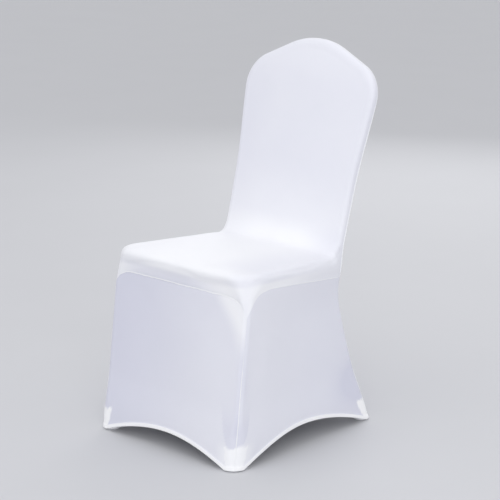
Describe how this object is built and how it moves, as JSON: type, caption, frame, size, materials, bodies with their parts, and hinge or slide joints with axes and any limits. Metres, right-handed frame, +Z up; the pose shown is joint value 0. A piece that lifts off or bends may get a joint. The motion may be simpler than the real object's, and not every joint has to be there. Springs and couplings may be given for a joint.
{
  "type": "chair cover",
  "caption": "Fitted stretch cover for a banquet chair: seat and backrest in one panel, side skirts with arched hems, and foot pockets.",
  "frame": {"origin": "on the floor, under the middle of the cover's outline", "axes": "+Z up, -Y out of the front of the seat, +X to the left of a person who sits on it"},
  "size_m": [0.4708, 0.5783, 0.9546],
  "materials": {
    "knit": "matte stretch knit",
    "double_knit": "matte stretch knit, two layers"
  },
  "bodies": {
    "root": {"seat_and_back_panel": "knit", "back_panel": "knit", "front_skirt": "knit", "side_skirt_right": "knit", "side_skirt_left": "knit", "foot_pocket_front_right": "double_knit", "foot_pocket_front_left": "double_knit", "foot_pocket_rear_right": "double_knit", "foot_pocket_rear_left": "double_knit"}
  },
  "joints": []
}
